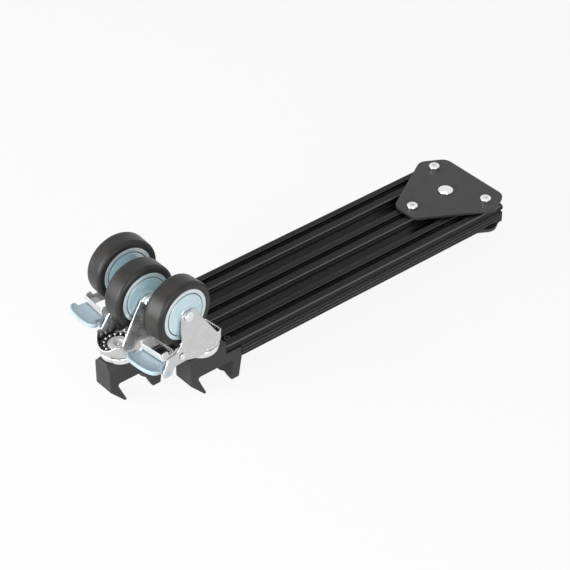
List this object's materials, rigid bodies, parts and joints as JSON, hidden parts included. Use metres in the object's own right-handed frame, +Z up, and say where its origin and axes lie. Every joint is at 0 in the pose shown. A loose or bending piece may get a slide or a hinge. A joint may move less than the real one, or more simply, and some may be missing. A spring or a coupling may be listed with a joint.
{
  "type": "tripod dolly",
  "caption": "Folding tripod dolly with side-by-side rails, clawed foot cradles and braked swivel casters, folded flat and lying upside down.",
  "frame": {"origin": "on the hub's axis, at the flat face of the clamping knob, level with the claw tips", "axes": "+Y from the casters towards the hub, along the folded legs; +Z up, with the casters on top because the dolly lies upside down"},
  "size_m": [0.1541, 0.5539, 0.161],
  "materials": {
    "tyre": "satin dark grey rubber",
    "blue_plastic": "satin moulded pale blue",
    "pressed_steel": "bright zinc on pressed sheet",
    "chrome": "bright plated",
    "cradle_plastic": "fine moulded grain",
    "black_rail": "black anodised, drawn lengthwise",
    "black_plate": "black powder coat",
    "bush": "natural",
    "black_screw": "black oxide"
  },
  "bodies": {
    "hub": {"hub_upper_plate": "black_plate", "hub_lower_plate": "black_plate", "hub_stud": "chrome", "left_pivot_bolt": "chrome", "right_pivot_bolt": "chrome", "middle_leg_bolt": "chrome", "middle_rail": "black_rail", "middle_cradle": "cradle_plastic", "middle_cradle_screw": "black_screw", "middle_caster_cup": "chrome", "middle_kingpin": "chrome"},
    "knob": {"hub_knob": "cradle_plastic"},
    "left_leg": {"left_rail": "black_rail", "left_cradle": "cradle_plastic", "left_cradle_screw": "black_screw", "left_caster_cup": "chrome", "left_kingpin": "chrome", "left_pivot_bush": "bush"},
    "right_leg": {"right_rail": "black_rail", "right_cradle": "cradle_plastic", "right_cradle_screw": "black_screw", "right_caster_cup": "chrome", "right_kingpin": "chrome", "right_pivot_bush": "bush"},
    "left_caster": {"left_fork": "pressed_steel", "left_swivel_bearing": "chrome", "left_axle_bolt": "chrome", "left_axle_nut": "chrome", "left_brake_pin": "chrome", "left_brake_spring": "chrome", "left_head_side_guard": "blue_plastic", "left_nut_side_guard": "blue_plastic"},
    "left_wheel": {"left_rim": "blue_plastic", "left_tyre": "tyre"},
    "left_brake_shoe": {"left_brake_shoe": "chrome"},
    "left_pedal": {"left_pedal": "blue_plastic"},
    "middle_caster": {"middle_fork": "pressed_steel", "middle_swivel_bearing": "chrome", "middle_axle_bolt": "chrome", "middle_axle_nut": "chrome", "middle_brake_pin": "chrome", "middle_brake_spring": "chrome", "middle_head_side_guard": "blue_plastic", "middle_nut_side_guard": "blue_plastic"},
    "middle_wheel": {"middle_rim": "blue_plastic", "middle_tyre": "tyre"},
    "middle_brake_shoe": {"middle_brake_shoe": "chrome"},
    "middle_pedal": {"middle_pedal": "blue_plastic"},
    "right_caster": {"right_fork": "pressed_steel", "right_swivel_bearing": "chrome", "right_axle_bolt": "chrome", "right_axle_nut": "chrome", "right_brake_pin": "chrome", "right_brake_spring": "chrome", "right_head_side_guard": "blue_plastic", "right_nut_side_guard": "blue_plastic"},
    "right_wheel": {"right_rim": "blue_plastic", "right_tyre": "tyre"},
    "right_brake_shoe": {"right_brake_shoe": "chrome"},
    "right_pedal": {"right_pedal": "blue_plastic"}
  },
  "joints": [
    {"name": "left_leg_fold", "type": "hinge", "parent": "hub", "child": "left_leg", "pos_m": [-0.0445, 0.02292, 0.0383], "axis": [0, 0, -1], "range_deg": [0, 120]},
    {"name": "right_leg_fold", "type": "hinge", "parent": "hub", "child": "right_leg", "pos_m": [0.0445, 0.02292, 0.0383], "axis": [0, 0, 1], "range_deg": [0, 120]},
    {"name": "left_caster_swivel", "type": "hinge", "parent": "left_leg", "child": "left_caster", "pos_m": [-0.0469, -0.40878, 0.055], "axis": [0, 0, -1], "range_deg": [-3, 184]},
    {"name": "left_wheel_spin", "type": "hinge", "parent": "left_caster", "child": "left_wheel", "pos_m": [-0.04863, -0.43873, 0.123], "axis": [-0.9983, 0.0576, 0], "continuous": true},
    {"name": "left_pedal_press", "type": "hinge", "parent": "left_caster", "child": "left_pedal", "pos_m": [-0.05066, -0.47397, 0.0684], "axis": [-0.9983, 0.0576, 0], "range_deg": [0, 15], "stiffness_Nm_per_rad": 0.1},
    {"name": "left_shoe_turn", "type": "hinge", "parent": "left_caster", "child": "left_brake_shoe", "pos_m": [-0.04942, -0.45251, 0.079], "axis": [-0.9983, 0.0576, 0], "range_deg": [0, 3.3]},
    {"name": "middle_caster_swivel", "type": "hinge", "parent": "hub", "child": "middle_caster", "pos_m": [0, -0.4817, 0.055], "axis": [0, 0, 1], "range_deg": [-0.5, 0.5]},
    {"name": "middle_wheel_spin", "type": "hinge", "parent": "middle_caster", "child": "middle_wheel", "pos_m": [0, -0.4517, 0.123], "axis": [1, 0, 0], "continuous": true},
    {"name": "middle_pedal_press", "type": "hinge", "parent": "middle_caster", "child": "middle_pedal", "pos_m": [0, -0.4164, 0.0684], "axis": [1, 0, 0], "range_deg": [0, 15], "stiffness_Nm_per_rad": 0.1},
    {"name": "middle_shoe_turn", "type": "hinge", "parent": "middle_caster", "child": "middle_brake_shoe", "pos_m": [0, -0.4379, 0.079], "axis": [1, 0, 0], "range_deg": [0, 3.3]},
    {"name": "right_caster_swivel", "type": "hinge", "parent": "right_leg", "child": "right_caster", "pos_m": [0.0469, -0.40878, 0.055], "axis": [0, 0, 1], "range_deg": [-4, 182]},
    {"name": "right_wheel_spin", "type": "hinge", "parent": "right_caster", "child": "right_wheel", "pos_m": [0.05004, -0.43861, 0.123], "axis": [-0.9945, -0.1045, 0], "continuous": true},
    {"name": "right_pedal_press", "type": "hinge", "parent": "right_caster", "child": "right_pedal", "pos_m": [0.05373, -0.47372, 0.0684], "axis": [-0.9945, -0.1045, 0], "range_deg": [0, 15], "stiffness_Nm_per_rad": 0.1},
    {"name": "right_shoe_turn", "type": "hinge", "parent": "right_caster", "child": "right_brake_shoe", "pos_m": [0.05148, -0.45234, 0.079], "axis": [-0.9945, -0.1045, 0], "range_deg": [0, 3.3]},
    {"name": "knob_turn", "type": "hinge", "parent": "hub", "child": "knob", "pos_m": [0, 0, 0], "axis": [0, 0, 1], "range_deg": [0, 180]}
  ],
  "couplings": [
    {"joint": "left_shoe_turn", "follows": "left_pedal_press", "ratio": 0.22},
    {"joint": "middle_shoe_turn", "follows": "middle_pedal_press", "ratio": 0.22},
    {"joint": "right_shoe_turn", "follows": "right_pedal_press", "ratio": 0.22}
  ]
}
